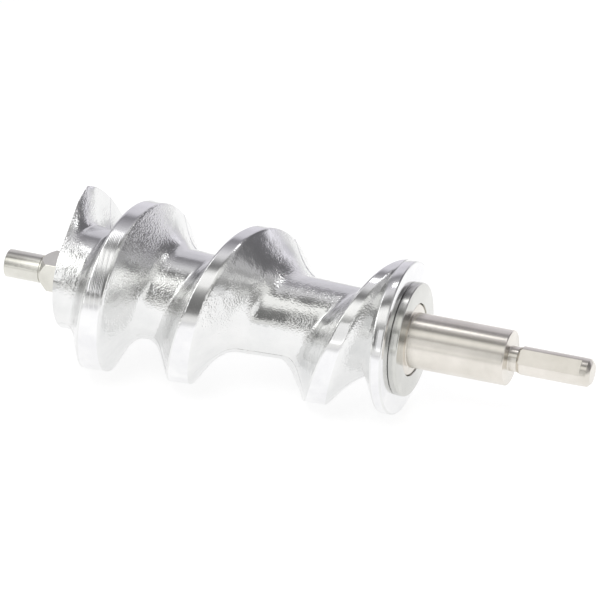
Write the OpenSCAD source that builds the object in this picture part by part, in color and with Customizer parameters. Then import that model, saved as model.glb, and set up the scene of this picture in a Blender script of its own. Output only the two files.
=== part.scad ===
// Feed worm (auger) of a hand meat grinder, size 5.
// A light-alloy casting holds two steel inserts: the drive shaft at the rear and the knife stud at
// the front. A loose thrust washer turns on the drive shaft's shoulder, behind the worm's flange.
// +X runs along the axis to the rear (crank end), +Z is up, and the origin is on the axis in the
// plane of the washer's thrust face.

/* [Worm casting] */
// Distance from the flange's rear face to the worm's front face
worm_length = 99.5; // [99:0.1:100]
// Outside diameter of the flight at the front
flight_d_front = 51.2; // [50:0.1:52]
// Outside diameter of the flight at the flange
flight_d_rear = 43.4; // [43:0.1:45]
// Diameter of the hub at the front
hub_d_front = 30.4; // [29:0.1:31]
// Diameter of the hub at the flange
hub_d_rear = 22.8; // [22.4:0.1:24]
// Advance of the flight in one turn at the front
lead_front = 16.4; // [16:0.1:17]
// Advance of the flight in one turn at the rear
lead_rear = 44.6; // [44:0.1:45]
// Width of the flight's land at the front
land_front = 5.6; // [5.2:0.1:6]
// Width of the flight's land at the rear
land_rear = 3.3; // [3:0.1:3.8]
// Extra width of the land underneath, at the front
land_extra_front = 1.7; // [1:0.1:2]
// Extra width of the land underneath, at the rear
land_extra_rear = 3.6; // [2:0.1:4]
// Thickness of the flange at its rim
flange_rim = 3; // [2:0.1:4]
// Length of the flange's sloping front side
flange_slope = 6.4; // [4:0.1:8]

/* [Thrust washer] */
// Outside diameter of the washer
washer_d = 32; // [28:0.5:34]
// Thickness of the washer
washer_t = 2.5; // [1.5:0.1:2.6]
// Chamfer on the washer's outer edges
washer_chamfer = 0.5; // [0.2:0.1:0.7]

/* [Drive shaft] */
// Diameter of the shoulder that centres the washer
shoulder_d = 20.4; // [18:0.1:22]
// Chamfer on the shoulder's edge
shoulder_chamfer = 0.9; // [0.3:0.1:1.2]
// Diameter of the bearing journal
journal_d = 15.5; // [14:0.1:16]
// Distance from the thrust face to the end of the journal
journal_length = 27.9; // [24:0.1:32]
// Diameter of the undercut behind the journal
neck_d = 7; // [6:0.1:7.2]
// Width of the undercut behind the journal
neck_length = 2.5; // [1.5:0.1:3]
// Diameter of the crank seat
tang_d = 8; // [7.6:0.1:9]
// Length of the crank seat
tang_length = 21.1; // [18:0.1:24]
// Length of the cone at the start of the crank seat
tang_lead = 1; // [0.5:0.1:1.2]
// Chamfer on the end of the crank seat
tang_chamfer = 1; // [0.4:0.1:1.2]
// Distance from the axis to the flat on the crank seat
flat_depth = 3.3; // [3:0.05:3.5]
// Angle of the flat above the horizontal
flat_angle = 47; // [0:1:90]
// Width of the full-round collar at the end of the crank seat
tang_collar = 2.8; // [2:0.1:4]
// The collar's diameter is smaller than the crank seat's by this much
collar_step = 0.1; // [0.05:0.05:0.2]

/* [Knife stud] */
// Diameter of the pilot pin that runs in the hole plate
pilot_d = 8; // [7.6:0.1:8.2]
// Length of the pilot pin
pilot_length = 11.1; // [9:0.1:13]
// Width across flats of the knife square
square_af = 8.6; // [8.4:0.1:9]
// Diameter that the square's corners are turned to
square_corner_d = 12; // [11.9:0.1:12]
// Length of the knife square outside the casting
square_length = 8.5; // [7:0.1:10]

/* [Hidden] */

cut = 1;                     // how far a cutting tool runs past the face that it leaves
edge = 0.4;                  // chamfer on turned ends
turn_play = 0.05;            // running clearance round and beside the washer
shoulder_set_back = 0.15;    // the washer stands this far proud of the shoulder

flange_x = -washer_t - turn_play;
front_x = flange_x - worm_length;
journal_end = journal_length;
tang_start = journal_end + neck_length;
tang_end = tang_start + tang_length;

drive_root_d = 12;
drive_root_length = 40;
knife_root_d = 9;
knife_root_length = 26;
root_groove_w = 4;
root_groove_share = 0.8;     // groove's floor, as a share of the root's diameter
root_flat_share = 0.86;      // flat's distance from the axis, as a share of the root's radius
root_flat_length = 12;
flat_start = tang_start + tang_lead / 2;
collar_start = tang_end - tang_collar;
square_lead = 2;             // cone that leads the knife on to the square
square_lead_step = 0.3;
relief_w = 0.6;              // relief groove between the pilot pin and the square
relief_depth = 0.25;

// Flight. A turn is counted from the point where the flight first stands at full height, at
// start_angle round the axis, with the front edge of its land in the front face. The lead grows
// from front to rear along half a cosine wave.
start_angle = 122;           // round the axis, from -Y over +Z
grow_turns = 2.6;            // turns over which the lead grows
ring_step = 1 / 36;          // turns between two rings of the surface
first_turn = -1.3;
last_turn = 3.1;
ramp_begin = -0.18;          // the flight rises out of the hub from here to turn 0
ramp_power = 2.2;
channel_points = 15;
hub_power = 1.5;             // the hub narrows faster at the front
land_lean = 1.4;             // part of the extra width lies on the land's front side
front_flank_front = 4.6;     // length of the front flank along the axis, front and rear
front_flank_rear = 6.6;
rear_flank_front = 4.3;      // the same for the rear flank, beside the die's parting plane
rear_flank_rear = 8.1;
die_angle = 55;              // direction in which the upper half of the die opens
rear_flank_stretch = 0.4;    // the rear flank is longer where it faces a die half
front_fillet = 0.4;          // fillets at the hub, as shares of the flight's height
rear_fillet_parting = 0.7;
rear_fillet_facing = 0.22;
young_turns = 0.22;          // the flight's first part has a narrow land and a steep rear flank
young_land = 0.7;            // the land is narrower there by this share
young_flank = 0.4;           // the rear flank is shorter there by this share
young_fillet = 0.5;          // the fillet is smaller there by this share

lead_mean = (lead_front + lead_rear) / 2;
lead_swing = (lead_rear - lead_front) / 2;

function blend(a, b, t) = a + (b - a) * min(max(t, 0), 1);
function body_share(x) = (x - front_x) / worm_length;
function flight_r(x) = blend(flight_d_front, flight_d_rear, body_share(x)) / 2;
function hub_r(x) = blend(hub_d_rear, hub_d_front, pow(1 - min(max(body_share(x), 0), 1), hub_power)) / 2;

// Advance of the flight after n turns
function growing(n) = lead_mean * n - lead_swing * grow_turns / PI * sin(180 * n / grow_turns);
function advance(n) = n < 0 ? lead_front * n
    : (n > grow_turns ? lead_mean * grow_turns + lead_rear * (n - grow_turns) : growing(n));
function underneath(n) = pow((1 - cos(360 * n)) / 2, 2);
function young(n) = (1 + cos(180 * min(max(n / young_turns, 0), 1))) / 2;
function land_w(n) = blend(land_front, land_rear, n / grow_turns) * (1 - young_land * young(n))
    + blend(land_extra_front, land_extra_rear, n / grow_turns) * underneath(n);
function land_start(n) = front_x + advance(n) - blend(0, land_lean, n / grow_turns) * underneath(n);
function land_end(n) = land_start(n) + land_w(n);
function land_middle(n) = land_start(n) + land_w(n) / 2;
function rise(n) = n <= ramp_begin ? 0 : pow(min(1 - n / ramp_begin, 1), ramp_power);

// Height of a straight flank, from 1 at the land to 0 at the hub, at a distance q from the land's
// edge, with a fillet at the hub
function flank(q, reach, fillet) =
    let (height = 1 - q / reach)
    let (overlap = max(fillet - abs(height), 0) / fillet)
    max(height, 0) + pow(overlap, 2) * fillet / 4;
function facing(n) = pow(cos(start_angle + 360 * n - die_angle), 2);
function front_reach(n) = blend(front_flank_front, front_flank_rear, n / grow_turns);
function rear_reach(n) = blend(rear_flank_front, rear_flank_rear, n / grow_turns)
    * (1 + rear_flank_stretch * facing(n)) * (1 - young_flank * young(n));
function rear_fillet(n) = blend(rear_fillet_parting, rear_fillet_facing, facing(n))
    * (1 - young_fillet * young(n));

// Radius in the channel that runs from a to b, between turn n and turn n + 1
function channel_r(n, x, a, b) =
    let (rear = rise(n) * flank(x - a, rear_reach(n), rear_fillet(n)))
    let (front = rise(n + 1) * flank(b - x, front_reach(n + 1), front_fillet))
    hub_r(x) + (flight_r(x) - hub_r(x)) * max(rear, front);

// One ring of the surface: from the middle of the land at turn n to the middle of the next land
function ring(n) =
    let (a = land_end(n))
    let (b = land_start(n + 1))
    let (middle = land_middle(n))
    concat(
        [[middle, blend(hub_r(middle), flight_r(middle), rise(n))]],
        [for (i = [0 : channel_points])
            let (t = (1 - cos(180 * i / channel_points)) / 2)
            let (x = a + (b - a) * t)
            [x, channel_r(n, x, a, b)]]
    );

function around(p, n) =
    let (angle = start_angle + 360 * n)
    [p[0], -p[1] * cos(angle), p[1] * sin(angle)];

rings = round((last_turn - first_turn) / ring_step) + 1;
per_turn = round(1 / ring_step);
per_ring = channel_points + 2;

function ring_turn(k) = first_turn + k * ring_step;

// The surface of the hub and its flight as one closed body, past both ends of the casting. Each
// ring stops at the middle of the next land, which is the first point of the ring one turn later.
module screw_body() {
    surface_points = [for (k = [0 : rings - 1]) for (p = ring(ring_turn(k))) around(p, ring_turn(k))];
    rear_points = [for (k = [rings - per_turn : rings - 1])
        let (x = land_middle(ring_turn(k) + 1))
        around([x, flight_r(x)], ring_turn(k))];
    front_tip = [[land_middle(first_turn), 0, 0]];
    rear_tip = [[land_middle(last_turn + 1), 0, 0]];
    points = concat(surface_points, rear_points, front_tip, rear_tip);
    rear_base = rings * per_ring;
    front_apex = rear_base + per_turn;
    rear_apex = front_apex + 1;

    // Number of the point after j steps in ring k
    function at(k, j) = j < per_ring ? k * per_ring + j
        : (k + per_turn < rings ? (k + per_turn) * per_ring : rear_base + k + per_turn - rings);

    skin = [for (k = [0 : rings - 2]) for (j = [0 : per_ring - 1]) for (half = [0, 1])
        half == 0 ? [at(k, j), at(k + 1, j), at(k + 1, j + 1)]
            : [at(k, j), at(k + 1, j + 1), at(k, j + 1)]];
    front_spiral = [for (k = [0 : per_turn - 1]) [front_apex, at(k + 1, 0), at(k, 0)]];
    front_cut = [for (j = [0 : per_ring - 1]) [front_apex, at(0, j), at(0, j + 1)]];
    rear_spiral = [for (k = [rings - 1 - per_turn : rings - 2])
        [rear_apex, at(k, per_ring), at(k + 1, per_ring)]];
    rear_cut = [for (j = [0 : per_ring - 1]) [rear_apex, at(rings - 1, j + 1), at(rings - 1, j)]];
    polyhedron(points, concat(skin, front_spiral, front_cut, rear_spiral, rear_cut), convexity = 10);
}

// A body of revolution about the X axis, from points that give a place along the axis and a radius
module turned(outline) {
    rotate([0, 90, 0])
        rotate_extrude($fn = 96)
            polygon([for (p = outline) [p[1], p[0]]]);
}

module rod(x0, x1, d) {
    turned([[x0, 0], [x0, d / 2], [x1, d / 2], [x1, 0]]);
}

// The end of a steel insert that the alloy is cast round: a ring groove holds it against pulling
// out, and two flats hold it against turning
module insert_root(x0, x1, d) {
    middle = (x0 + x1) / 2;
    difference() {
        rod(x0, x1, d);
        difference() {
            rod(middle - root_groove_w / 2, middle + root_groove_w / 2, d + cut);
            rod(middle - root_groove_w, middle + root_groove_w, d * root_groove_share);
        }
        for (side = [0, 180])
            rotate([side, 0, 0])
                translate([x0 < x1 ? x0 - cut : x0 - root_flat_length, -d, d / 2 * root_flat_share])
                    cube([root_flat_length + cut, 2 * d, d]);
    }
}

module drive_root() {
    insert_root(flange_x - drive_root_length, flange_x, drive_root_d);
}

module knife_root() {
    insert_root(front_x + knife_root_length, front_x, knife_root_d);
}

// Flange with a sloping front side, which the last turn of the flight runs into
module flange() {
    rim_x = flange_x - flange_rim;
    turned([
        [rim_x - flange_slope, 0],
        [rim_x - flange_slope, hub_d_rear / 2],
        [rim_x, flight_d_rear / 2],
        [flange_x, flight_d_rear / 2],
        [flange_x, 0]
    ]);
}

module worm_casting() {
    color([0.84, 0.85, 0.87])
        difference() {
            union() {
                intersection() {
                    screw_body();
                    translate([front_x, -flight_d_front, -flight_d_front])
                        cube([worm_length, 2 * flight_d_front, 2 * flight_d_front]);
                }
                flange();
            }
            drive_root();
            knife_root();
        }
}

// The crank seat. Its seam lies in the flat, so that the round part stays one face.
module crank_seat() {
    collar_r = (tang_d - collar_step) / 2;
    difference() {
        rotate([270 - flat_angle, 0, 0])
            turned([
                [tang_start, 0],
                [tang_start, neck_d / 2],
                [tang_start + tang_lead, tang_d / 2],
                [collar_start, tang_d / 2],
                [collar_start, collar_r],
                [tang_end - tang_chamfer, collar_r],
                [tang_end, collar_r - tang_chamfer],
                [tang_end, 0]
            ]);
        rotate([90 - flat_angle, 0, 0])
            translate([flat_start, -tang_d, flat_depth])
                cube([collar_start - flat_start, 2 * tang_d, tang_d]);
    }
}

module drive_shaft() {
    shoulder_x = -shoulder_set_back;
    color([0.72, 0.7, 0.66])
        union() {
            drive_root();
            turned([
                [flange_x, 0],
                [flange_x, shoulder_d / 2],
                [shoulder_x - shoulder_chamfer, shoulder_d / 2],
                [shoulder_x, shoulder_d / 2 - shoulder_chamfer],
                [shoulder_x, journal_d / 2],
                [journal_end - edge, journal_d / 2],
                [journal_end, journal_d / 2 - edge],
                [journal_end, neck_d / 2],
                [tang_start, neck_d / 2],
                [tang_start, 0]
            ]);
            crank_seat();
        }
}

module thrust_washer() {
    front = flange_x + turn_play;
    color([0.76, 0.74, 0.7])
        turned([
            [front, shoulder_d / 2 + turn_play],
            [front, washer_d / 2 - washer_chamfer],
            [front + washer_chamfer, washer_d / 2],
            [-washer_chamfer, washer_d / 2],
            [0, washer_d / 2 - washer_chamfer],
            [0, shoulder_d / 2 + turn_play]
        ]);
}

module knife_stud() {
    square_x = front_x - square_length;
    pilot_x = square_x - pilot_length;
    color([0.7, 0.68, 0.62])
        union() {
            knife_root();
            intersection() {
                turned([
                    [square_x, 0],
                    [square_x, pilot_d / 2 + square_lead_step],
                    [square_x + square_lead, square_corner_d / 2],
                    [front_x, square_corner_d / 2],
                    [front_x, 0]
                ]);
                translate([square_x - cut, -square_af / 2, -square_af / 2])
                    cube([square_length + cut, square_af, square_af]);
            }
            turned([
                [pilot_x, 0],
                [pilot_x, pilot_d / 2 - edge],
                [pilot_x + edge, pilot_d / 2],
                [square_x - relief_w, pilot_d / 2],
                [square_x - relief_w, pilot_d / 2 - relief_depth],
                [square_x, pilot_d / 2 - relief_depth],
                [square_x, 0]
            ]);
        }
}

worm_casting();
drive_shaft();
thrust_washer();
knife_stud();
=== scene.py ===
"""Looks of the feed worm of a hand meat grinder, built round its CAD frame. Metres, +X to the rear."""

import math

import bmesh
import bpy
import numpy as np
from mathutils import Matrix, Vector


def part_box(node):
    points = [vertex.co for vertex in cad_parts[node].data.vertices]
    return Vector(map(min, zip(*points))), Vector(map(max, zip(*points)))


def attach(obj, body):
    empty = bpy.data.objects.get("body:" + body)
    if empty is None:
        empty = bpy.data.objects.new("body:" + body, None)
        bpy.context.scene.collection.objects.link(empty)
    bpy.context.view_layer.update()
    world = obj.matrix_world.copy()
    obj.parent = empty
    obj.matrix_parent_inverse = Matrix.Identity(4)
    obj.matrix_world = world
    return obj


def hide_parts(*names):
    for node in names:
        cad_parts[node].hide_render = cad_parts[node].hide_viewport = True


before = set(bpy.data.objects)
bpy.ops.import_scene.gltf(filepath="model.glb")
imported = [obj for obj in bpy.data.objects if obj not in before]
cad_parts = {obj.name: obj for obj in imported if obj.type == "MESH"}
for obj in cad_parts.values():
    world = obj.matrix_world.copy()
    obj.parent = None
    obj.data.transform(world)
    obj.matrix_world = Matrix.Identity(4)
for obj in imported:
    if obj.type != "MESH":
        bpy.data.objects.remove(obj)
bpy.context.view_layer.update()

MM = 0.001
TURN = 2 * math.pi

# ---------------------------------------------------------------- camera

CAMERA_AZIMUTH = math.radians(20.4)
CAMERA_ELEVATION = math.radians(30.6)
CAMERA_LENS = 360
CAMERA_SENSOR = 36
CAMERA_DISTANCE = 1.6667
AIM_X = -33.9 * MM
AIM_RISE = 5.0 * MM


def add_camera():
    sa, ca = math.sin(CAMERA_AZIMUTH), math.cos(CAMERA_AZIMUTH)
    se, ce = math.sin(CAMERA_ELEVATION), math.cos(CAMERA_ELEVATION)
    back = Vector((sa * ce, -ca * ce, se))
    up = Vector((-sa * se, ca * se, ce))
    data = bpy.data.cameras.new("camera")
    data.lens = CAMERA_LENS
    data.sensor_width = CAMERA_SENSOR
    data.clip_start = 0.01
    data.clip_end = 50
    camera = bpy.data.objects.new("camera", data)
    camera.location = Vector((AIM_X, 0, 0)) + up * AIM_RISE + back * CAMERA_DISTANCE
    camera.rotation_euler = back.to_track_quat("Z", "Y").to_euler()
    bpy.context.scene.collection.objects.link(camera)
    bpy.context.scene.camera = camera


# ---------------------------------------------------------------- node helpers


class Nodes:
    """A short way to write a node tree: each call adds a node, sets its inputs, returns an output."""

    def __init__(self, tree):
        self.tree = tree

    def add(self, kind, out=0, props=None, **inputs):
        node = self.tree.nodes.new(kind)
        for key, value in (props or {}).items():
            setattr(node, key, value)
        for key, value in inputs.items():
            self.set(node, key, value)
        return node.outputs[out]

    def set(self, node, key, value):
        by_number = key[0] == "i" and key[1:].isdigit()
        socket = node.inputs[int(key[1:]) if by_number else key.replace("_", " ")]
        if isinstance(value, bpy.types.NodeSocket):
            self.tree.links.new(value, socket)
        else:
            socket.default_value = value

    def math(self, operation, a, b=0.0, c=0.0):
        return self.add("ShaderNodeMath", props={"operation": operation}, i0=a, i1=b, i2=c)

    def ramp(self, factor, stops, interpolation="LINEAR"):
        node = self.tree.nodes.new("ShaderNodeValToRGB")
        node.color_ramp.interpolation = interpolation
        elements = node.color_ramp.elements
        while len(elements) < len(stops):
            elements.new(0.5)
        for element, (place, colour) in zip(elements, stops):
            element.position = place
            element.color = (*colour, 1) if isinstance(colour, tuple) else (colour, colour, colour, 1)
        self.tree.links.new(factor, node.inputs[0])
        return node.outputs[0]

    def noise(self, vector, scale, detail=2.0, roughness=0.5, distortion=0.0):
        return self.add("ShaderNodeTexNoise", Vector=vector, Scale=scale, Detail=detail,
                        Roughness=roughness, Distortion=distortion)

    def bump(self, height, distance, strength=1.0, normal=None):
        inputs = {"Height": height, "Distance": distance, "Strength": strength}
        if normal is not None:
            inputs["Normal"] = normal
        return self.add("ShaderNodeBump", **inputs)

    def mix(self, factor, a, b, blend_type="MIX"):
        props = {"data_type": "RGBA", "blend_type": blend_type}
        return self.add("ShaderNodeMix", out=2, props=props, i0=factor, i6=a, i7=b)

    def map_range(self, value, old, new=(0.0, 1.0), kind="LINEAR"):
        props = {"interpolation_type": kind}
        return self.add("ShaderNodeMapRange", props=props, Value=value,
                        i1=old[0], i2=old[1], i3=new[0], i4=new[1])

    def split(self, vector):
        node = self.tree.nodes.new("ShaderNodeSeparateXYZ")
        self.tree.links.new(vector, node.inputs[0])
        return node.outputs


def new_material(name):
    material = bpy.data.materials.new(name)
    material.use_nodes = True
    shader = material.node_tree.nodes["Principled BSDF"]
    shader.inputs["Metallic"].default_value = 1.0
    return material, Nodes(material.node_tree), shader


# ---------------------------------------------------------------- stage

FLOOR_REACH = 6.0
FLOOR_TONE = 0.25
FLOOR_ROUGHNESS = 0.9
FLOOR_SHINE = 0.1
FLOOR_GLOW_SPAN = (0.24, 0.40)                 # the paper glows evenly up to here and dimmer beyond: painted light that washes out its shadows
FLOOR_GLOW = (0.82, 0.5)


def add_stage(flight_low_front, flight_low_rear):
    """A pale floor that touches the flight's outside all along the worm, and glows with painted light."""
    (x0, z0), (x1, z1) = flight_low_front, flight_low_rear
    slope = (z1 - z0) / (x1 - x0)
    mesh = bpy.data.meshes.new("floor")
    corners = [(x, y, z0 + (x - x0) * slope)
               for x, y in ((-FLOOR_REACH, -FLOOR_REACH), (FLOOR_REACH, -FLOOR_REACH),
                            (FLOOR_REACH, FLOOR_REACH), (-FLOOR_REACH, FLOOR_REACH))]
    mesh.from_pydata(corners, [], [(0, 1, 2, 3)])
    floor = bpy.data.objects.new("floor", mesh)
    bpy.context.scene.collection.objects.link(floor)
    material, nodes, shader = new_material("floor_paper_glow")
    shader.inputs["Metallic"].default_value = 0.0
    shader.inputs["Base Color"].default_value = (FLOOR_TONE, FLOOR_TONE, FLOOR_TONE, 1)
    shader.inputs["Roughness"].default_value = FLOOR_ROUGHNESS
    shader.inputs["Specular IOR Level"].default_value = FLOOR_SHINE
    # Painted light: the floor glows by itself, evenly near the worm and dimmer further out, so it stays
    # white and its shadows fade
    shader.inputs["Emission Color"].default_value = (1, 1, 1, 1)
    place = nodes.add("ShaderNodeTexCoord", out="Object")
    away = nodes.add("ShaderNodeVectorMath", out="Value", props={"operation": "LENGTH"}, i0=place)
    nodes.set(shader, "Emission_Strength", nodes.map_range(away, FLOOR_GLOW_SPAN, FLOOR_GLOW))
    mesh.materials.append(material)


# What the metal mirrors: strips that run along the worm. Brightness by the angle round its axis, from the
# front horizon (0) over the top (90) to the back horizon (180)
STUDIO = (
    (-180, 0.86), (-150, 0.95), (-38, 1.0), (-2, 0.92), (5, 0.84), (9, 0.62), (11, 0.24), (20, 0.17),
    (33, 0.22), (40, 0.36), (46, 0.62), (51, 1.0), (66, 1.1), (71, 0.88), (75, 0.38), (78, 0.2),
    (83, 0.22), (89, 0.44), (94, 0.70), (101, 0.76), (107, 0.64), (114, 0.46), (121, 0.36), (127, 0.27),
    (131, 0.30), (136, 0.58), (142, 0.70), (158, 0.72), (166, 0.80), (174, 0.80),
)
# The same beyond the worm's rear end
STUDIO_REAR = (
    (-180, 0.72), (-150, 0.86), (-38, 0.95), (-2, 0.88), (6, 0.75), (10, 0.34), (30, 0.30), (45, 0.5),
    (52, 0.9), (70, 0.85), (76, 0.45), (86, 0.36), (96, 0.55), (104, 0.62), (112, 0.40), (118, 0.22),
    (138, 0.16), (159, 0.20), (163, 0.55), (165, 1.05), (170, 1.05), (174, 0.72),
)
# The parts of the direction along X, or along Y for the tint, over which one look turns into the next
REAR_SHARE = (0.12, 0.3)
END_SHARE = (0.95, 0.995)
END_TONE = 0.42
TINT_SHARE = (-0.3, 0.6)
SKY_WARM, SKY_COOL = (1.0, 0.998, 0.975), (0.985, 0.965, 1.03)


def add_studio():
    world = bpy.data.worlds.new("studio")
    bpy.context.scene.world = world
    world.use_nodes = True
    nodes = Nodes(world.node_tree)
    x, y, z = nodes.split(nodes.add("ShaderNodeTexCoord", out="Generated"))
    around = nodes.math("DIVIDE", nodes.math("ARCTAN2", z, nodes.math("MULTIPLY", y, -1.0)), math.pi)
    around = nodes.math("MULTIPLY_ADD", around, 0.5, 0.5)
    strips = nodes.ramp(around, [((angle + 180) / 360, value) for angle, value in STUDIO])
    rear = nodes.ramp(around, [((angle + 180) / 360, value) for angle, value in STUDIO_REAR])
    light = nodes.mix(nodes.map_range(x, REAR_SHARE, kind="SMOOTHSTEP"), strips, rear)
    end = nodes.map_range(x, END_SHARE, kind="SMOOTHSTEP")
    light = nodes.mix(end, light, (END_TONE, END_TONE, END_TONE, 1))
    tint = nodes.mix(nodes.map_range(y, TINT_SHARE), (*SKY_WARM, 1), (*SKY_COOL, 1))
    colour = nodes.mix(1.0, light, tint, "MULTIPLY")
    world.node_tree.links.new(colour, world.node_tree.nodes["Background"].inputs["Color"])


LIGHT_SIZE = 1.2
LIGHTS = {
    "key": ((-0.2, -0.5, 1.4), 12),
    "fill": ((0.5, 0.9, 1.2), 8),
}
# Each strip: its ends along X, its edges in degrees round the axis, its distance and its brightness
STRIPS = {
    "journal_strip": ((-41 * MM, 20 * MM), (101, 108), 120 * MM, 1.9),
    "journal_fill": ((-48 * MM, 30 * MM), (8, 37), 120 * MM, 0.68),
    "front_strip": ((-172 * MM, -130 * MM), (16, 98), 150 * MM, 1.0),
    "pilot_strip": ((-205 * MM, -173 * MM), (2, 60), 150 * MM, 0.85),
}


def add_light(name, location, power):
    """A soft light for the floor and the rough metal, which the bright metal doesn't mirror."""
    data = bpy.data.lights.new(name, "AREA")
    data.shape = "DISK"
    data.size = LIGHT_SIZE
    data.energy = power
    light = bpy.data.objects.new(name, data)
    light.location = location
    light.rotation_euler = Vector(location).to_track_quat("Z", "Y").to_euler()
    light.visible_glossy = False
    bpy.context.scene.collection.objects.link(light)


def add_strip(name, along, around, distance, brightness):
    """A strip light beside the worm for the metal to mirror, between places along X and angles round it."""
    middle = math.radians(sum(around) / 2)
    length = along[1] - along[0]
    width = 2 * distance * math.tan(math.radians(around[1] - around[0]) / 2)
    outward = Vector((0, -math.cos(middle), math.sin(middle)))
    data = bpy.data.lights.new(name, "AREA")
    data.shape = "RECTANGLE"
    data.size = length
    data.size_y = width
    data.energy = brightness * math.pi * length * width
    light = bpy.data.objects.new(name, data)
    x_axis = Vector((1, 0, 0))
    light.matrix_world = Matrix((x_axis, outward.cross(x_axis), outward)).transposed().to_4x4()
    light.location = outward * distance + x_axis * (along[0] + along[1]) / 2
    light.visible_camera = False
    light.visible_diffuse = False
    bpy.context.scene.collection.objects.link(light)


# ---------------------------------------------------------------- shape of the casting

casting_low, casting_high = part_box("worm_casting")
FRONT_X = casting_low.x
FLANGE_X = casting_high.x
WORM_LENGTH = FLANGE_X - FRONT_X

FLIGHT_R = (25.54 * MM, 21.64 * MM)         # every such pair: front, rear
HUB_R = (15.2 * MM, 11.4 * MM)
HUB_POWER = 1.5                             # above 1, so the hub narrows faster near the front
LEAD = (16.4 * MM, 44.6 * MM)
LAND = (5.6 * MM, 3.3 * MM)
LAND_EXTRA = (1.7 * MM, 3.6 * MM)           # the land is wider underneath
LAND_LEAN = 1.4 * MM                        # part of it lies on the front side
GROW_TURNS = 2.6                            # the lead and the land change over this many turns
START_ANGLE = math.radians(122)             # where turn 0 is, from -Y over +Z
RAMP_BEGIN = -0.18                          # the flight rises out of the hub from this turn to turn 0
RAMP_POWER = 2.2
DIE_ANGLE = math.radians(55)                # direction in which the upper half of the die opens
FRONT_FLANK = (4.6 * MM, 6.6 * MM)
REAR_FLANK = (4.3 * MM, 8.1 * MM)
REAR_FLANK_STRETCH = 0.4                    # the rear flank is longer where it faces a die half
FRONT_FILLET = 0.4
REAR_FILLET = (0.7, 0.22)                   # beside the die's parting plane, and where it faces a die half
YOUNG_TURNS = 0.22                          # the flight begins with a narrow land and a steep rear flank
YOUNG_LAND = 0.7
YOUNG_FLANK = 0.4
YOUNG_FILLET = 0.5
FLANGE_RIM = 3 * MM
FLANGE_SLOPE = 6.4 * MM

FIRST_TURN = -1.3                           # the surface runs on past both ends and is cut there
LAST_TURN = 3.1
EVEN_RINGS = 180                            # rings of the surface in one turn, and more at the parting line
PARTING_STEPS = (-0.8, -0.45, -0.2, 0.0, 0.2, 0.45, 0.8)
PARTING_ANGLES = (145, 325)                 # degrees round the axis, square to DIE_ANGLE
PARTING_HEIGHT = 0.16 * MM
PARTING_WIDTH = 0.35                        # degrees
LAND_POINTS = 7
CHANNEL_POINTS = 72
EDGE_ROUND = 0.06                           # rounding of the land's edges, a share of the flight's height


def blend(pair, t):
    return pair[0] + (pair[1] - pair[0]) * np.clip(t, 0, 1)


def body_share(x):
    return (x - FRONT_X) / WORM_LENGTH


def flight_r(x):
    return blend(FLIGHT_R, body_share(x))


def hub_r(x):
    return blend(HUB_R[::-1], (1 - np.clip(body_share(x), 0, 1)) ** HUB_POWER)


def advance(n):
    """Place along X of turn n, from the front."""
    mean, swing = (LEAD[1] + LEAD[0]) / 2, (LEAD[1] - LEAD[0]) / 2
    growing = mean * n - swing * GROW_TURNS / math.pi * np.sin(math.pi * n / GROW_TURNS)
    grown = mean * GROW_TURNS + LEAD[1] * (n - GROW_TURNS)
    return np.where(n < 0, LEAD[0] * n, np.where(n > GROW_TURNS, grown, growing))


def underneath(n):
    """1 half a turn away from each whole turn, and 0 at the whole turns."""
    return ((1 - np.cos(TURN * n)) / 2) ** 2


def young(n):
    """1 where the flight begins, falling to 0."""
    return (1 + np.cos(math.pi * np.clip(n / YOUNG_TURNS, 0, 1))) / 2


def land_width(n):
    width = blend(LAND, n / GROW_TURNS) * (1 - YOUNG_LAND * young(n))
    return width + blend(LAND_EXTRA, n / GROW_TURNS) * underneath(n)


def land_start(n):
    return FRONT_X + advance(n) - LAND_LEAN * np.clip(n / GROW_TURNS, 0, 1) * underneath(n)


def land_end(n):
    return land_start(n) + land_width(n)


def land_middle(n):
    return land_start(n) + land_width(n) / 2


def rise(n):
    """Height of the flight as it rises out of the hub, from 0 to 1."""
    return np.where(n <= RAMP_BEGIN, 0, np.clip(1 - n / RAMP_BEGIN, 0, 1) ** RAMP_POWER)


def soft_max(a, b, width):
    overlap = np.clip(width - np.abs(a - b), 0, None) / width
    return np.maximum(a, b) + overlap ** 2 * width / 4


def soft_min(a, b, width):
    return -soft_max(-a, -b, width)


def flank(distance, reach, fillet):
    """Height of a straight flank: above 1 beside the land, 1 at its edge, and a fillet at the hub."""
    return soft_max(1 - distance / reach, 0, fillet)


def parting_ridge(n):
    """Height of the thin line of metal that the gap between the die halves leaves."""
    degrees = np.degrees(START_ANGLE + TURN * n)
    height = np.zeros_like(degrees)
    for angle in PARTING_ANGLES:
        away = (degrees - angle + 180) % 360 - 180
        height += PARTING_HEIGHT * np.exp(-(away / PARTING_WIDTH) ** 2)
    return height


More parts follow.
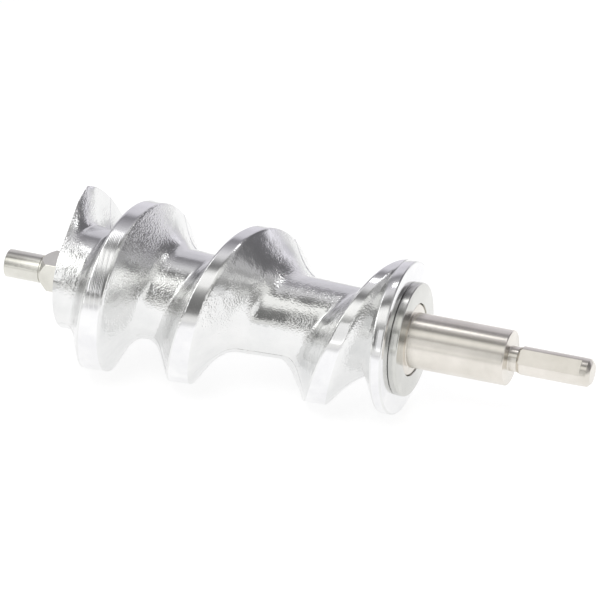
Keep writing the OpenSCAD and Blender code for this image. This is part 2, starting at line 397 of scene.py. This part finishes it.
def channel(n):
    """Places and radii of the points from the middle of the land at turn n to the next land's middle."""
    a, b = land_middle(n), land_middle(n + 1)
    edge_a, edge_b = land_end(n), land_start(n + 1)
    side = np.linspace(0, 1, LAND_POINTS)[:-1]
    across = (1 - np.cos(math.pi * np.linspace(0, 1, CHANNEL_POINTS))) / 2
    parts = (a[:, None] + (edge_a - a)[:, None] * side,
             edge_a[:, None] + (edge_b - edge_a)[:, None] * across,
             edge_b[:, None] + (b - edge_b)[:, None] * side[1:])
    x = np.concatenate(parts, axis=1)
    turns = n[:, None]
    facing = np.cos(START_ANGLE + TURN * turns - DIE_ANGLE) ** 2
    rear_reach = blend(REAR_FLANK, turns / GROW_TURNS) * (1 + REAR_FLANK_STRETCH * facing)
    rear_reach = rear_reach * (1 - YOUNG_FLANK * young(turns))
    rear_fillet = blend(REAR_FILLET, facing) * (1 - YOUNG_FILLET * young(turns))
    rear = rise(turns) * flank(x - edge_a[:, None], rear_reach, rear_fillet)
    front = rise(turns + 1) * flank(edge_b[:, None] - x, blend(FRONT_FLANK, (turns + 1) / GROW_TURNS),
                                    FRONT_FILLET)
    height = soft_min(np.maximum(rear, front), np.maximum(rise(turns), rise(turns + 1)), EDGE_ROUND)
    cast_r = hub_r(x) + (flight_r(x) - hub_r(x)) * np.clip(height, 0, 1)
    return x, np.minimum(cast_r + parting_ridge(turns), np.maximum(cast_r, flight_r(x)))


def screw_mesh():
    """The hub and its flight as one closed surface, past both ends of the casting."""
    start = math.degrees(START_ANGLE) / 360 + FIRST_TURN
    extra = [((angle + step) / 360 - start) % 1 for angle in PARTING_ANGLES for step in PARTING_STEPS]
    even = [k / EVEN_RINGS for k in range(EVEN_RINGS)]
    shares = np.array(sorted(even + [e for e in extra if min(abs(e - k) for k in even) > 1e-5]))
    per_turn = len(shares)
    whole_turns = math.ceil(LAST_TURN - FIRST_TURN)
    turns = np.concatenate([FIRST_TURN + k + shares for k in range(whole_turns)])
    turns = turns[turns < LAST_TURN]
    count = len(turns)
    x, r = channel(turns)
    per_ring = x.shape[1]
    angle = (START_ANGLE + TURN * turns)[:, None]
    points = np.stack([x, -r * np.cos(angle), r * np.sin(angle)], axis=-1).reshape(-1, 3)
    tail = turns[-per_turn:]
    tail_x = land_middle(tail + 1)
    tail_r = flight_r(tail_x)
    tail_angle = START_ANGLE + TURN * tail
    tail_points = np.stack([tail_x, -tail_r * np.cos(tail_angle), tail_r * np.sin(tail_angle)], axis=-1)
    tips = [(float(land_middle(np.float64(turn))), 0, 0) for turn in (FIRST_TURN, LAST_TURN + 1)]
    vertices = np.concatenate([points, tail_points, tips])
    tail_base = count * per_ring
    front_tip = tail_base + per_turn
    rear_tip = front_tip + 1

    def at(k, j):
        if j < per_ring:
            return k * per_ring + j
        later = k + per_turn
        return later * per_ring if later < count else tail_base + later - count

    faces = [(at(k, j), at(k + 1, j), at(k + 1, j + 1), at(k, j + 1))
             for k in range(count - 1) for j in range(per_ring)]
    faces += [(front_tip, at(k + 1, 0), at(k, 0)) for k in range(per_turn)]
    faces += [(front_tip, at(0, j), at(0, j + 1)) for j in range(per_ring)]
    faces += [(rear_tip, at(k, per_ring), at(k + 1, per_ring))
              for k in range(count - 1 - per_turn, count - 1)]
    faces += [(rear_tip, at(count - 1, j + 1), at(count - 1, j)) for j in range(per_ring)]
    mesh = bpy.data.meshes.new("screw")
    mesh.from_pydata(vertices.tolist(), [], faces)
    return mesh


def lathe_mesh(name, outline, segments=192):
    """A body of revolution about the X axis, from points that give a place along the axis and a radius."""
    mesh = bmesh.new()
    rings = []
    for x, r in outline:
        if r == 0:
            rings.append([mesh.verts.new((x, 0, 0))])
            continue
        angles = [TURN * k / segments for k in range(segments)]
        rings.append([mesh.verts.new((x, -r * math.cos(angle), r * math.sin(angle))) for angle in angles])
    closed = len(rings[0]) > 1
    pairs = list(zip(rings, rings[1:])) + ([(rings[-1], rings[0])] if closed else [])
    for one, two in pairs:
        for k in range(segments):
            later = (k + 1) % segments
            corners = [one[k % len(one)], one[later % len(one)], two[later % len(two)], two[k % len(two)]]
            corners = [v for i, v in enumerate(corners) if v not in corners[:i]]
            if len(corners) > 2:
                mesh.faces.new(corners)
    bmesh.ops.recalc_face_normals(mesh, faces=mesh.faces)
    data = bpy.data.meshes.new(name)
    mesh.to_mesh(data)
    mesh.free()
    return data


def block_mesh(name, along, outward, across, angle=0.0):
    """A block between pairs of places along X, outward and across; outward points at angle above -Y."""
    c, s = math.cos(angle), math.sin(angle)
    corners = [(x, -c * u + s * v, s * u + c * v) for x in along for u in outward for v in across]
    mesh = bmesh.new()
    points = [mesh.verts.new(corner) for corner in corners]
    for side in ((0, 1, 3, 2), (4, 6, 7, 5), (0, 4, 5, 1), (2, 3, 7, 6), (0, 2, 6, 4), (1, 5, 7, 3)):
        mesh.faces.new([points[k] for k in side])
    bmesh.ops.recalc_face_normals(mesh, faces=mesh.faces)
    data = bpy.data.meshes.new(name)
    mesh.to_mesh(data)
    mesh.free()
    return data


def add_object(name, mesh):
    thing = bpy.data.objects.new(name, mesh)
    bpy.context.scene.collection.objects.link(thing)
    return thing


def combine(thing, other, operation):
    """Applies a boolean of two closed solids to the first one, and removes the second."""
    modifier = thing.modifiers.new(operation, "BOOLEAN")
    modifier.operation = operation
    modifier.object = other
    modifier.solver = "MANIFOLD"
    graph = bpy.context.evaluated_depsgraph_get()
    result = bpy.data.meshes.new_from_object(thing.evaluated_get(graph))
    thing.modifiers.clear()
    thing.data = result
    bpy.data.objects.remove(other)


END_CHAMFER = 0.25 * MM
PAST_FLIGHT = 30 * MM                       # a radius outside the whole flight
FLANGE_OVERLAP = 2 * MM                     # how far the flange runs on inside the hub
FLANGE_SINK = 1 * MM
FLANGE_STEP = 0.05 * MM
RIM_ROUND = 0.5 * MM
ROOT_GROOVE = 4 * MM
ROOT_GROOVE_SHARE = 0.8
ROOT_FLAT_SHARE = 0.86
ROOT_FLAT_LENGTH = 12 * MM
DRIVE_ROOT = (40 * MM, 6 * MM)              # length and radius of the part that the alloy is cast round
KNIFE_ROOT = (26 * MM, 4.5 * MM)


def root_object(name, inner_x, outer_x, r):
    """The end of a steel insert inside the alloy, with a ring groove and two flats."""
    step = ROOT_GROOVE / 2 * (1 if outer_x > inner_x else -1)
    middle = (inner_x + outer_x) / 2
    outline = [(inner_x, 0), (inner_x, r), (middle - step, r), (middle - step, r * ROOT_GROOVE_SHARE),
               (middle + step, r * ROOT_GROOVE_SHARE), (middle + step, r), (outer_x, r), (outer_x, 0)]
    root = add_object(name, lathe_mesh(name, outline))
    along = sorted((inner_x - step, inner_x + math.copysign(ROOT_FLAT_LENGTH, step)))
    for angle in (math.pi / 2, -math.pi / 2):
        flat = block_mesh("flat", along, (r * ROOT_FLAT_SHARE, 2 * r), (-2 * r, 2 * r), angle)
        combine(root, add_object("flat", flat), "DIFFERENCE")
    return root


def drive_root(name):
    return root_object(name, FLANGE_X - DRIVE_ROOT[0], FLANGE_X, DRIVE_ROOT[1])


def knife_root(name):
    return root_object(name, FRONT_X + KNIFE_ROOT[0], FRONT_X, KNIFE_ROOT[1])


def make_casting():
    worm = add_object("worm_body", screw_mesh())
    rim_x = FLANGE_X - FLANGE_RIM
    envelope = [
        (FRONT_X, 0), (FRONT_X, FLIGHT_R[0] - END_CHAMFER), (FRONT_X + END_CHAMFER, FLIGHT_R[0]),
        (FRONT_X + 2 * END_CHAMFER, PAST_FLIGHT), (rim_x, PAST_FLIGHT), (rim_x, 0),
    ]
    combine(worm, add_object("envelope", lathe_mesh("envelope", envelope)), "INTERSECT")
    slope_x = rim_x - FLANGE_SLOPE
    rim_r = FLIGHT_R[1]
    flange = [
        (slope_x - FLANGE_OVERLAP, 0), (slope_x - FLANGE_OVERLAP, HUB_R[1] - FLANGE_SINK),
        (slope_x, HUB_R[1] + FLANGE_STEP), (rim_x - END_CHAMFER, rim_r - 0.7 * END_CHAMFER),
        (rim_x + END_CHAMFER, rim_r), (FLANGE_X - RIM_ROUND, rim_r),
        (FLANGE_X - 0.5 * RIM_ROUND, rim_r - 0.14 * RIM_ROUND),
        (FLANGE_X - 0.14 * RIM_ROUND, rim_r - 0.5 * RIM_ROUND), (FLANGE_X, rim_r - RIM_ROUND),
        (FLANGE_X, 0),
    ]
    combine(worm, add_object("flange", lathe_mesh("flange", flange)), "UNION")
    combine(worm, drive_root("pocket"), "DIFFERENCE")
    combine(worm, knife_root("pocket"), "DIFFERENCE")
    return worm


# ---------------------------------------------------------------- shape of the steel pieces

SHOULDER_R = 10.2 * MM
SHOULDER_X = -0.15 * MM
JOURNAL_R = 7.75 * MM
JOURNAL_END = 27.9 * MM
NECK_R = 3.5 * MM
NECK_END = 30.4 * MM
TANG_R = 4 * MM
TANG_LEAD = 1 * MM
COLLAR_X = 48.7 * MM
COLLAR_R = 3.95 * MM
TANG_END = 51.5 * MM
TANG_CHAMFER = 1 * MM
SHOULDER_ROUND = 0.9 * MM
JOURNAL_ROUND = 0.4 * MM
CORNER_FILLETS = (0.25 * MM, 0.3 * MM)      # at the shoulder and in front of the neck
TANG_TIP = 0.1 * MM                         # the chamfer's edge is broken by this much
FLAT_X = 30.9 * MM
FLAT_DEPTH = 3.3 * MM
FLAT_ANGLE = math.radians(47)


def rounded(x, r, size, x_side, r_side, steps=4):
    """Points round a corner of an outline; the sides say in which direction each leg runs from it."""
    points = []
    for k in range(steps + 1):
        angle = math.pi / 2 * k / steps
        along, inward = size * (1 - math.sin(angle)), size * (1 - math.cos(angle))
        points.append((x + x_side * along, r + r_side * inward))
    return points


def make_drive_shaft():
    outline = [(FLANGE_X, 0), (FLANGE_X, SHOULDER_R)]
    outline += rounded(SHOULDER_X, SHOULDER_R, SHOULDER_ROUND, -1, -1)
    outline += rounded(SHOULDER_X, JOURNAL_R, CORNER_FILLETS[0], 1, 1)[::-1]
    outline += rounded(JOURNAL_END, JOURNAL_R, JOURNAL_ROUND, -1, -1)
    outline += rounded(JOURNAL_END, NECK_R, CORNER_FILLETS[1], 1, 1)[::-1]
    outline += [
        (NECK_END, NECK_R), (NECK_END + TANG_LEAD, TANG_R), (COLLAR_X, TANG_R),
        (COLLAR_X + (TANG_R - COLLAR_R), COLLAR_R), (TANG_END - TANG_CHAMFER, COLLAR_R),
        (TANG_END - TANG_TIP, COLLAR_R - TANG_CHAMFER + TANG_TIP),
        (TANG_END, COLLAR_R - TANG_CHAMFER - TANG_TIP), (TANG_END, 0),
    ]
    shaft = add_object("shaft_turned", lathe_mesh("shaft_turned", outline))
    past = 2 * TANG_R
    flat = block_mesh("flat", (FLAT_X, COLLAR_X), (FLAT_DEPTH, past), (-past, past), FLAT_ANGLE)
    combine(shaft, add_object("flat", flat), "DIFFERENCE")
    combine(shaft, drive_root("root"), "UNION")
    return shaft


WASHER_R = 16 * MM
WASHER_BORE_R = 10.25 * MM
WASHER_FRONT = -2.5 * MM
WASHER_EDGE = 0.5 * MM
BORE_EDGE = 0.12 * MM


def make_washer():
    outline = [(WASHER_FRONT, WASHER_BORE_R + BORE_EDGE)]
    outline += rounded(WASHER_FRONT, WASHER_R, WASHER_EDGE, 1, -1)[::-1]
    outline += rounded(0, WASHER_R, WASHER_EDGE, -1, -1)
    outline += [(0, WASHER_BORE_R + BORE_EDGE), (-BORE_EDGE, WASHER_BORE_R),
                (WASHER_FRONT + BORE_EDGE, WASHER_BORE_R)]
    return add_object("washer_ring", lathe_mesh("washer_ring", outline))


SQUARE_X = FRONT_X - 8.5 * MM
SQUARE_HALF = 4.3 * MM
SQUARE_CORNER_R = 6 * MM
SQUARE_LEAD = 2 * MM
SQUARE_START = 0.3 * MM                     # the lead-in cone begins this much outside the pilot
PILOT_X = SQUARE_X - 11.1 * MM
PILOT_R = 4 * MM
PILOT_EDGE = 0.4 * MM
RELIEF_W = 0.6 * MM
RELIEF_DEPTH = 0.25 * MM
RELIEF_EDGE = 0.1 * MM


def make_knife_stud():
    square = add_object("stud_turned", lathe_mesh("stud_turned", [
        (SQUARE_X, 0), (SQUARE_X, PILOT_R + SQUARE_START), (SQUARE_X + SQUARE_LEAD, SQUARE_CORNER_R),
        (FRONT_X, SQUARE_CORNER_R), (FRONT_X, 0)]))
    sides = (-SQUARE_HALF, SQUARE_HALF)
    along = (SQUARE_X - 1 * MM, FRONT_X + 1 * MM)
    combine(square, add_object("sides", block_mesh("sides", along, sides, sides)), "INTERSECT")
    relief_x = SQUARE_X - RELIEF_W
    outline = [(PILOT_X, 0)] + rounded(PILOT_X, PILOT_R, PILOT_EDGE, 1, -1)[::-1]
    outline += [(relief_x, PILOT_R), (relief_x + RELIEF_EDGE, PILOT_R - RELIEF_DEPTH),
                (SQUARE_X + RELIEF_EDGE, PILOT_R - RELIEF_DEPTH), (SQUARE_X + RELIEF_EDGE, 0)]
    combine(square, add_object("pilot", lathe_mesh("pilot", outline)), "UNION")
    combine(square, knife_root("root"), "UNION")
    return square


def mark_turned(worm, tolerance=0.02 * MM):
    """Gives the faces that the lathe cut, the lands, the rim and both end faces, the second material."""
    mesh = worm.data
    for polygon in mesh.polygons:
        x, y, z = polygon.center
        radius = math.hypot(y, z)
        outside = abs(radius - float(flight_r(np.float64(x)))) < tolerance
        end = abs(x - FRONT_X) < tolerance or abs(x - FLANGE_X) < tolerance
        rim = x > FLANGE_X - FLANGE_RIM and radius > FLIGHT_R[1] - tolerance
        polygon.material_index = 1 if outside or end or rim else 0


CAST_EDGE_ANGLE = 35                        # edges sharper than this stay sharp, in degrees
STEEL_EDGE_ANGLE = 20


def smooth(thing, angle):
    thing.data.shade_smooth()
    thing.data.set_sharp_from_angle(angle=math.radians(angle))


# ---------------------------------------------------------------- materials


GRAIN = (2300, 0.11 * MM)                   # noise scale per metre and bump height of each relief
DENT = (850, 0.09 * MM)
WAVE = (130, 0.18 * MM)
SWELL = (30, 0.6 * MM)
PATCH_SCALE = 70
GLOSS_SCALE = 160
FROST = [(0.42, 0.15), (0.60, 1.0)]         # how much of the grain shows, from smooth to grained patches
CAST_TONE = [(0.3, (0.76, 0.765, 0.765)), (0.7, (0.87, 0.87, 0.865))]
CAST_ROUGHNESS = [(0.3, 0.07), (0.7, 0.16)]


def cast_alloy():
    """Bright cast alloy, tumbled to a shine, with the fine dimples that tumbling leaves."""
    material, nodes, shader = new_material("cast_alloy_bright")
    place = nodes.add("ShaderNodeTexCoord", out="Object")
    grains = nodes.noise(place, GRAIN[0], 1.0, 0.5)
    dents = nodes.noise(place, DENT[0], 1.0, 0.5)
    waves = nodes.noise(place, WAVE[0], 3.0, 0.5)
    swells = nodes.noise(place, SWELL[0], 2.0, 0.5)
    frost = nodes.ramp(nodes.noise(place, PATCH_SCALE, 3.0, 0.6), FROST)
    normal = nodes.bump(swells, SWELL[1], 0.3)
    normal = nodes.bump(waves, WAVE[1], 0.3, normal)
    normal = nodes.bump(nodes.math("MULTIPLY", dents, frost), DENT[1], 0.8, normal)
    normal = nodes.bump(nodes.math("MULTIPLY", grains, frost), GRAIN[1], 1.0, normal)
    nodes.set(shader, "Normal", normal)
    nodes.set(shader, "Base_Color", nodes.ramp(nodes.noise(place, PATCH_SCALE, 4.0, 0.6), CAST_TONE))
    gloss = nodes.noise(place, GLOSS_SCALE, 4.0, 0.6)
    nodes.set(shader, "Roughness", nodes.ramp(gloss, CAST_ROUGHNESS))
    return material


TURNED_WANDER = (60, 1.5)                   # noise scale, and how many pitches the rings wander
TURNED_SCRATCH = 1.7
TURNED_PITTING = (900, 0.02 * MM)
TURNED_TONE = 90
GROOVE_PITCH = 1.35 * MM
GROOVE_PLACE = (FRONT_X + 17 * MM, -22 * MM, 13 * MM)   # the lathe tool left a few deeper rings round here
GROOVE_REACH = (7 * MM, 14 * MM)
GROOVE_EDGE = [(0.55, 1.0), (0.9, 0.0)]


def turned(name, dark, light, pitch, depth, roughness, groove=0.0):
    """Turned metal: fine rings round the X axis, a few deeper grooves, and gloss that varies a little."""
    material, nodes, shader = new_material(name)
    place = nodes.add("ShaderNodeTexCoord", out="Object")
    x, y, z = nodes.split(place)
    square = nodes.math("ADD", nodes.math("MULTIPLY", y, y), nodes.math("MULTIPLY", z, z))
    track = nodes.math("ADD", x, nodes.math("SQRT", square))
    wander = nodes.math("MULTIPLY", nodes.noise(place, TURNED_WANDER[0], 2.0), pitch * TURNED_WANDER[1])
    tool_path = nodes.math("ADD", track, wander)
    rings = nodes.math("SINE", nodes.math("MULTIPLY", tool_path, TURN / pitch))
    line = nodes.add("ShaderNodeCombineXYZ", X=nodes.math("MULTIPLY", track, 1.0 / pitch))
    scratches = nodes.noise(line, TURNED_SCRATCH, 3.0, 0.7)
    normal = nodes.bump(scratches, depth * 2, 0.6)
    if groove:
        spaced = nodes.math("SINE", nodes.math("MULTIPLY", tool_path, TURN / GROOVE_PITCH))
        away = nodes.add("ShaderNodeVectorMath", out="Value", props={"operation": "DISTANCE"},
                         i0=place, i1=GROOVE_PLACE)
        share = nodes.map_range(away, GROOVE_REACH, (1.0, 0.0))
        normal = nodes.bump(nodes.ramp(spaced, GROOVE_EDGE), groove, share, normal)
    normal = nodes.bump(rings, depth, 0.6, normal)
    pitting = nodes.noise(place, TURNED_PITTING[0], 2.0)
    normal = nodes.bump(pitting, TURNED_PITTING[1], 0.4, normal)
    nodes.set(shader, "Normal", normal)
    tone = nodes.ramp(nodes.noise(place, TURNED_TONE, 4.0, 0.6), [(0.3, dark), (0.7, light)])
    nodes.set(shader, "Base_Color", tone)
    nodes.set(shader, "Roughness", nodes.ramp(scratches, [(0.25, roughness[0]), (0.75, roughness[1])]))
    return material


# ---------------------------------------------------------------- build

add_camera()
worm = make_casting()
worm.data.materials.clear()
worm.data.materials.append(cast_alloy())
worm.data.materials.append(turned("cast_alloy_turned", (0.81, 0.81, 0.825), (0.92, 0.92, 0.92),
                                  0.45 * MM, 0.003 * MM, (0.08, 0.18), 0.09 * MM))
mark_turned(worm)
smooth(worm, CAST_EDGE_ANGLE)
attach(worm, "worm")
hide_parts("worm_casting")

# Each steel piece: what makes it, its body and slot, and its darker and lighter tone, ring pitch, ring depth
# and range of roughness
STEEL = {
    "drive_shaft": (make_drive_shaft, "worm", "shaft_steel",
                    ((0.68, 0.65, 0.595), (0.80, 0.765, 0.715), 0.2 * MM, 0.003 * MM, (0.17, 0.3))),
    "thrust_washer": (make_washer, "washer", "washer_steel",
                      ((0.60, 0.60, 0.575), (0.70, 0.70, 0.675), 0.3 * MM, 0.003 * MM, (0.12, 0.24))),
    "knife_stud": (make_knife_stud, "worm", "stud_steel",
                   ((0.64, 0.63, 0.58), (0.76, 0.75, 0.70), 0.2 * MM, 0.004 * MM, (0.14, 0.28))),
}
for node, (make, body, slot, look) in STEEL.items():
    piece = make()
    smooth(piece, STEEL_EDGE_ANGLE)
    piece.data.materials.clear()
    piece.data.materials.append(turned(slot, *look))
    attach(piece, body)
    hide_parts(node)

add_stage((FRONT_X, -FLIGHT_R[0]), (FLANGE_X, -FLIGHT_R[1]))
add_studio()
for name, (location, power) in LIGHTS.items():
    add_light(name, location, power)
for name, strip in STRIPS.items():
    add_strip(name, *strip)

view = bpy.context.scene.view_settings
view.view_transform = "Standard"
